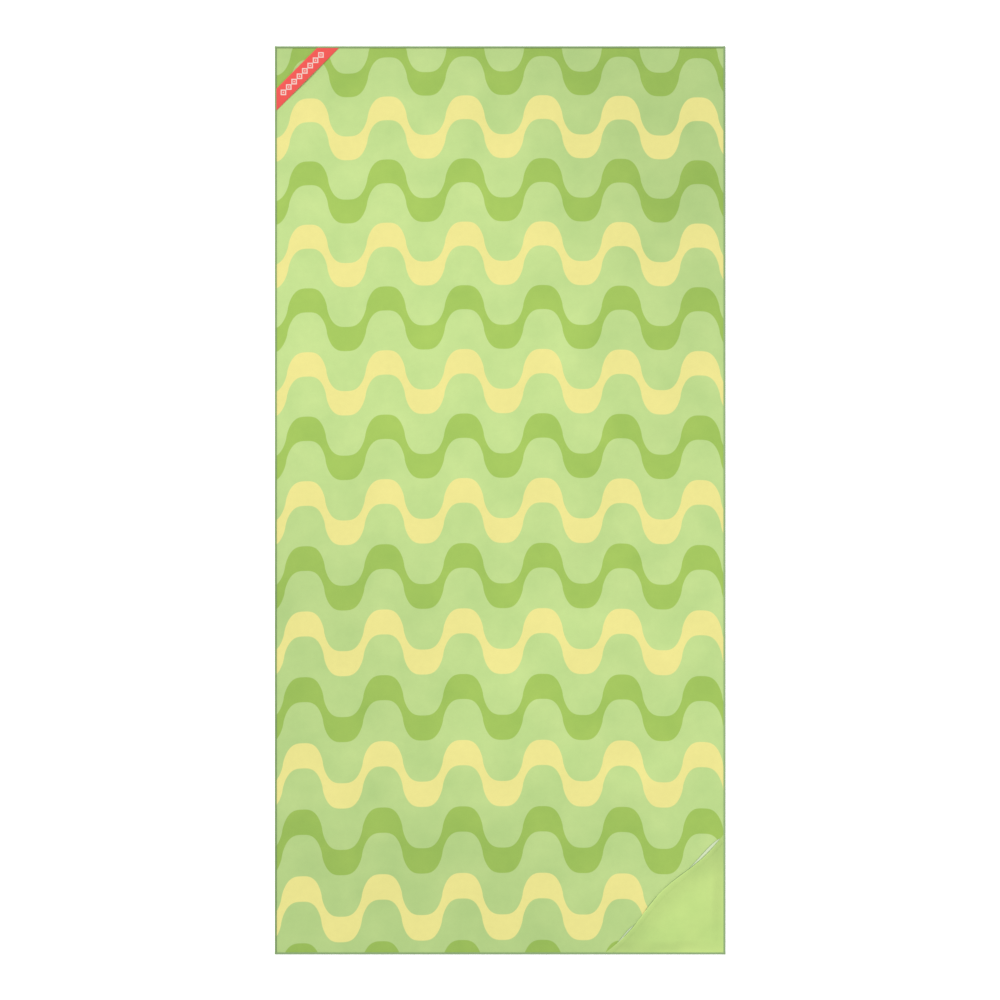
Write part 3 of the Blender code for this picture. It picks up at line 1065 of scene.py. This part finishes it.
def wave_print(tree, x, y):
    """The printed colour, and how much of the painted light and shade it leaves off: high
    in the yellow waves.
    """
    shift = wave_shift(tree, x, row_number(tree, y))
    share = calc(tree, "DIVIDE", x, HALF_WIDTH)
    arch = calc(tree, "MULTIPLY", calc(tree, "MULTIPLY", share, share), ROW_ARCH)
    tilt = calc(tree, "MULTIPLY", share, ROW_TILT)
    level = calc(tree, "SUBTRACT", y, shift)
    level = calc(tree, "ADD", level, calc(tree, "SUBTRACT", arch, tilt))
    row = row_number(tree, level)
    nearest = calc(tree, "ROUND", row)
    away = calc(tree, "ABSOLUTE", calc(tree, "SUBTRACT", row, nearest))
    pitch = calc(tree, "MULTIPLY_ADD", row, 2 * ROW_PITCH_GROWTH, ROW_PITCH)
    distance = calc(tree, "MULTIPLY", away, pitch)
    half = calc(tree, "MULTIPLY_ADD", row, BAND_THICKNESS_GROWTH / 2, BAND_THICKNESS / 2)
    inside = calc(tree, "SUBTRACT", half, distance)
    band = calc(tree, "MULTIPLY_ADD", inside, 1 / PRINT_SOFTNESS, 0.5, clamp=True)
    odd = calc(tree, "FLOORED_MODULO", nearest, 2.0)
    ink = mix_colours(tree, odd, YELLOW, DARK_GREEN)
    yellow_share = calc(tree, "MULTIPLY", band, calc(tree, "SUBTRACT", 1.0, odd))
    # How much of the painted light and shade to leave off the yellow.
    painted_light_cut = calc(tree, "MULTIPLY", yellow_share, YELLOW_PAINTED_LIGHT_CUT)
    return mix_colours(tree, band, GROUND_GREEN, ink), painted_light_cut


def make_printed_material():
    """Brushed microfibre with the wave print."""
    material, tree, shader = new_cloth_material("printed_microfibre", *MICROFIBRE_GLOSS)
    place = place_socket(tree)
    colour, painted_light_cut = wave_print(tree, *split_place(tree, place))
    brushed_surface(tree, shader, place, colour, PAINTED_LIGHT_POOLS, painted_light_cut)
    return material


def make_lime_material():
    """The same cloth, plain lime, for the back and the pocket."""
    material, tree, shader = new_cloth_material("lime_microfibre", *MICROFIBRE_GLOSS)
    place = place_socket(tree)
    # Painted light: a painted pool of light towards the lime corner.
    brushed_surface(tree, shader, place, plain_colour(tree, LIME), LIME_PAINTED_LIGHT_POOL)
    return material


def make_thread_material(name, colour):
    """Sewing thread, a little lighter and darker along its length."""
    material, tree, shader = new_cloth_material(name, *THREAD_GLOSS)
    place = place_socket(tree)
    fuzz = noise(tree, place, FUZZ_SIZE, 3.0)
    lengths = noise(tree, place, THREAD_LENGTH, 2.0)
    light = shade_of(colour, THREAD_LIGHT)
    dark = shade_of(colour, THREAD_DARK)
    mixed = calc(tree, "MULTIPLY", lengths, 1 - FUZZ_SHARE)
    mixed = calc(tree, "MULTIPLY_ADD", fuzz, FUZZ_SHARE, mixed)
    colour = mix_colours(tree, mixed, dark, light)
    # Painted light: the same broad painted pools of light as on the printed face.
    colour = multiply_colours(tree, colour, painted_pool_light(tree, place, PAINTED_LIGHT_POOLS))
    tree.links.new(colour, shader.inputs["Base Color"])
    vary_roughness(tree, shader, fuzz, *THREAD_ROUGH)
    add_bump(tree, shader, fuzz, *THREAD_BUMP)
    return material


def diamond_chain(tree, along, across):
    """One on the lines and centre dots of a chain of diamonds, zero elsewhere."""
    turns = calc(tree, "DIVIDE", along, DIAMOND_PITCH)
    offset = calc(tree, "SUBTRACT", calc(tree, "FLOORED_MODULO", turns, 1.0), 0.5)
    away = calc(tree, "MULTIPLY", calc(tree, "ABSOLUTE", offset), DIAMOND_PITCH)
    reach = calc(tree, "ADD", away, calc(tree, "ABSOLUTE", across))
    from_line = calc(tree, "ABSOLUTE", calc(tree, "SUBTRACT", reach, DIAMOND_REACH))
    line = calc(tree, "SUBTRACT", DIAMOND_LINE / math.sqrt(2), from_line)
    dot = calc(tree, "SUBTRACT", DIAMOND_DOT, reach)
    inside = calc(tree, "MAXIMUM", line, dot)
    shown = calc(tree, "MULTIPLY_ADD", inside, 1 / DIAMOND_SOFTNESS, 0.5, clamp=True)
    half_chain = DIAMOND_COUNT * DIAMOND_PITCH / 2
    in_chain = calc(tree, "LESS_THAN", calc(tree, "ABSOLUTE", along), half_chain)
    return calc(tree, "MULTIPLY", shown, in_chain)


def make_ribbon_material():
    """Red grosgrain with a pale chain of diamonds woven along its middle."""
    material, tree, shader = new_cloth_material("red_grosgrain", *GROSGRAIN_GLOSS)
    place = place_socket(tree, "ribbon_place")
    along, across = split_place(tree, place)
    motif = diamond_chain(tree, along, across)
    fibres = noise(tree, place, RIBBON_FIBRE, 3.0)
    ribs = calc(tree, "SINE", calc(tree, "MULTIPLY", along, 2 * math.pi / RIB_PITCH))
    red = mix_colours(tree, fibres, shade_of(RIBBON_RED, RIBBON_DARK), RIBBON_RED)
    colour = mix_colours(tree, motif, red, WOVEN_PINK)
    tree.links.new(colour, shader.inputs["Base Color"])
    height = calc(tree, "MULTIPLY_ADD", motif, MOTIF_RELIEF, ribs)
    vary_roughness(tree, shader, fibres, *RIBBON_ROUGH)
    add_bump(tree, shader, height, *RIBBON_BUMP)
    return material


def make_facing_material():
    """Pale grey-green brushed cloth, the inside of the pocket's hem."""
    material, tree, shader = new_cloth_material("hem_facing", *FACING_GLOSS)
    place = place_socket(tree)
    # Painted light: the same painted pool of light as on the lime cloth.
    brushed_surface(tree, shader, place, plain_colour(tree, FACING_PALE), LIME_PAINTED_LIGHT_POOL)
    return material


def make_satin_material():
    """Plain off-white satin for the care label."""
    material, tree, shader = new_cloth_material("label_satin_weave", *SATIN_GLOSS)
    place = place_socket(tree)
    fibres = noise(tree, place, SATIN_FIBRE, 3.0)
    dark = shade_of(SATIN_WHITE, SATIN_DARK)
    colour = mix_colours(tree, fibres, dark, SATIN_WHITE)
    tree.links.new(colour, shader.inputs["Base Color"])
    vary_roughness(tree, shader, fibres, *SATIN_ROUGH)
    add_bump(tree, shader, fibres, *SATIN_BUMP)
    return material


# ---------------------------------------------------------------- stage


def build_floor():
    """A plain white floor."""
    bpy.ops.mesh.primitive_plane_add(size=FLOOR_SIZE)
    floor = bpy.context.object
    floor.name = "studio_floor"
    paper = bpy.data.materials.new("studio_paper")
    paper.use_nodes = True
    shader = paper.node_tree.nodes["Principled BSDF"]
    shader.inputs["Base Color"].default_value = (*FLOOR_WHITE, 1.0)
    shader.inputs["Roughness"].default_value = FLOOR_ROUGHNESS
    shader.inputs["Specular IOR Level"].default_value = FLOOR_SPECULAR
    shader.inputs["Emission Color"].default_value = (*WHITE, 1.0)
    shader.inputs["Emission Strength"].default_value = FLOOR_GLOW
    floor.data.materials.append(paper)


def build_sky():
    """An even white sky, which the camera sees at full white."""
    world = bpy.data.worlds.new("studio_world")
    bpy.context.scene.world = world
    world.use_nodes = True
    tree = world.node_tree
    background = tree.nodes["Background"]
    background.inputs["Color"].default_value = (*WHITE, 1.0)
    seen = tree.nodes.new("ShaderNodeLightPath").outputs["Is Camera Ray"]
    strength = calc(tree, "MULTIPLY_ADD", seen, 1 - SKY_STRENGTH, SKY_STRENGTH)
    tree.links.new(strength, background.inputs["Strength"])


def build_key_light():
    """A wide, low sun from the upper left of the picture."""
    light = bpy.data.lights.new("key_light", "SUN")
    light.energy = KEY_STRENGTH
    light.angle = KEY_SOFTNESS
    key = bpy.data.objects.new("key_light", light)
    bpy.context.scene.collection.objects.link(key)
    key.rotation_euler = Vector(KEY_FROM).to_track_quat("Z", "Y").to_euler()


def build_camera():
    """The camera straight above the towel, with plain colours."""
    camera_data = bpy.data.cameras.new("camera")
    camera_data.lens = LENS
    camera_data.sensor_width = SENSOR_WIDTH
    camera_data.clip_end = CLIP_END
    camera = bpy.data.objects.new("camera", camera_data)
    bpy.context.scene.collection.objects.link(camera)
    camera.location = (0, CAMERA_UP, FRAME_WIDTH * LENS / SENSOR_WIDTH)
    bpy.context.scene.camera = camera
    bpy.context.scene.view_settings.view_transform = "Standard"


SHEET = settled_sheet()
printed = make_printed_material()
lime = make_lime_material()
thread = make_thread_material("overlock_thread", EDGING_GREEN)
grosgrain = make_ribbon_material()
satin = make_satin_material()
build_cloth(printed, lime)
build_edging(thread)
build_ribbon(grosgrain)
build_pocket(lime)
build_pocket_thread(make_thread_material("hem_sewing_thread", HEM_THREAD_LIME))
build_mouth_facings(make_facing_material(), thread)
build_mouth_shadow_lines(thread)
build_label(satin)
build_floor()
build_sky()
build_key_light()
build_camera()
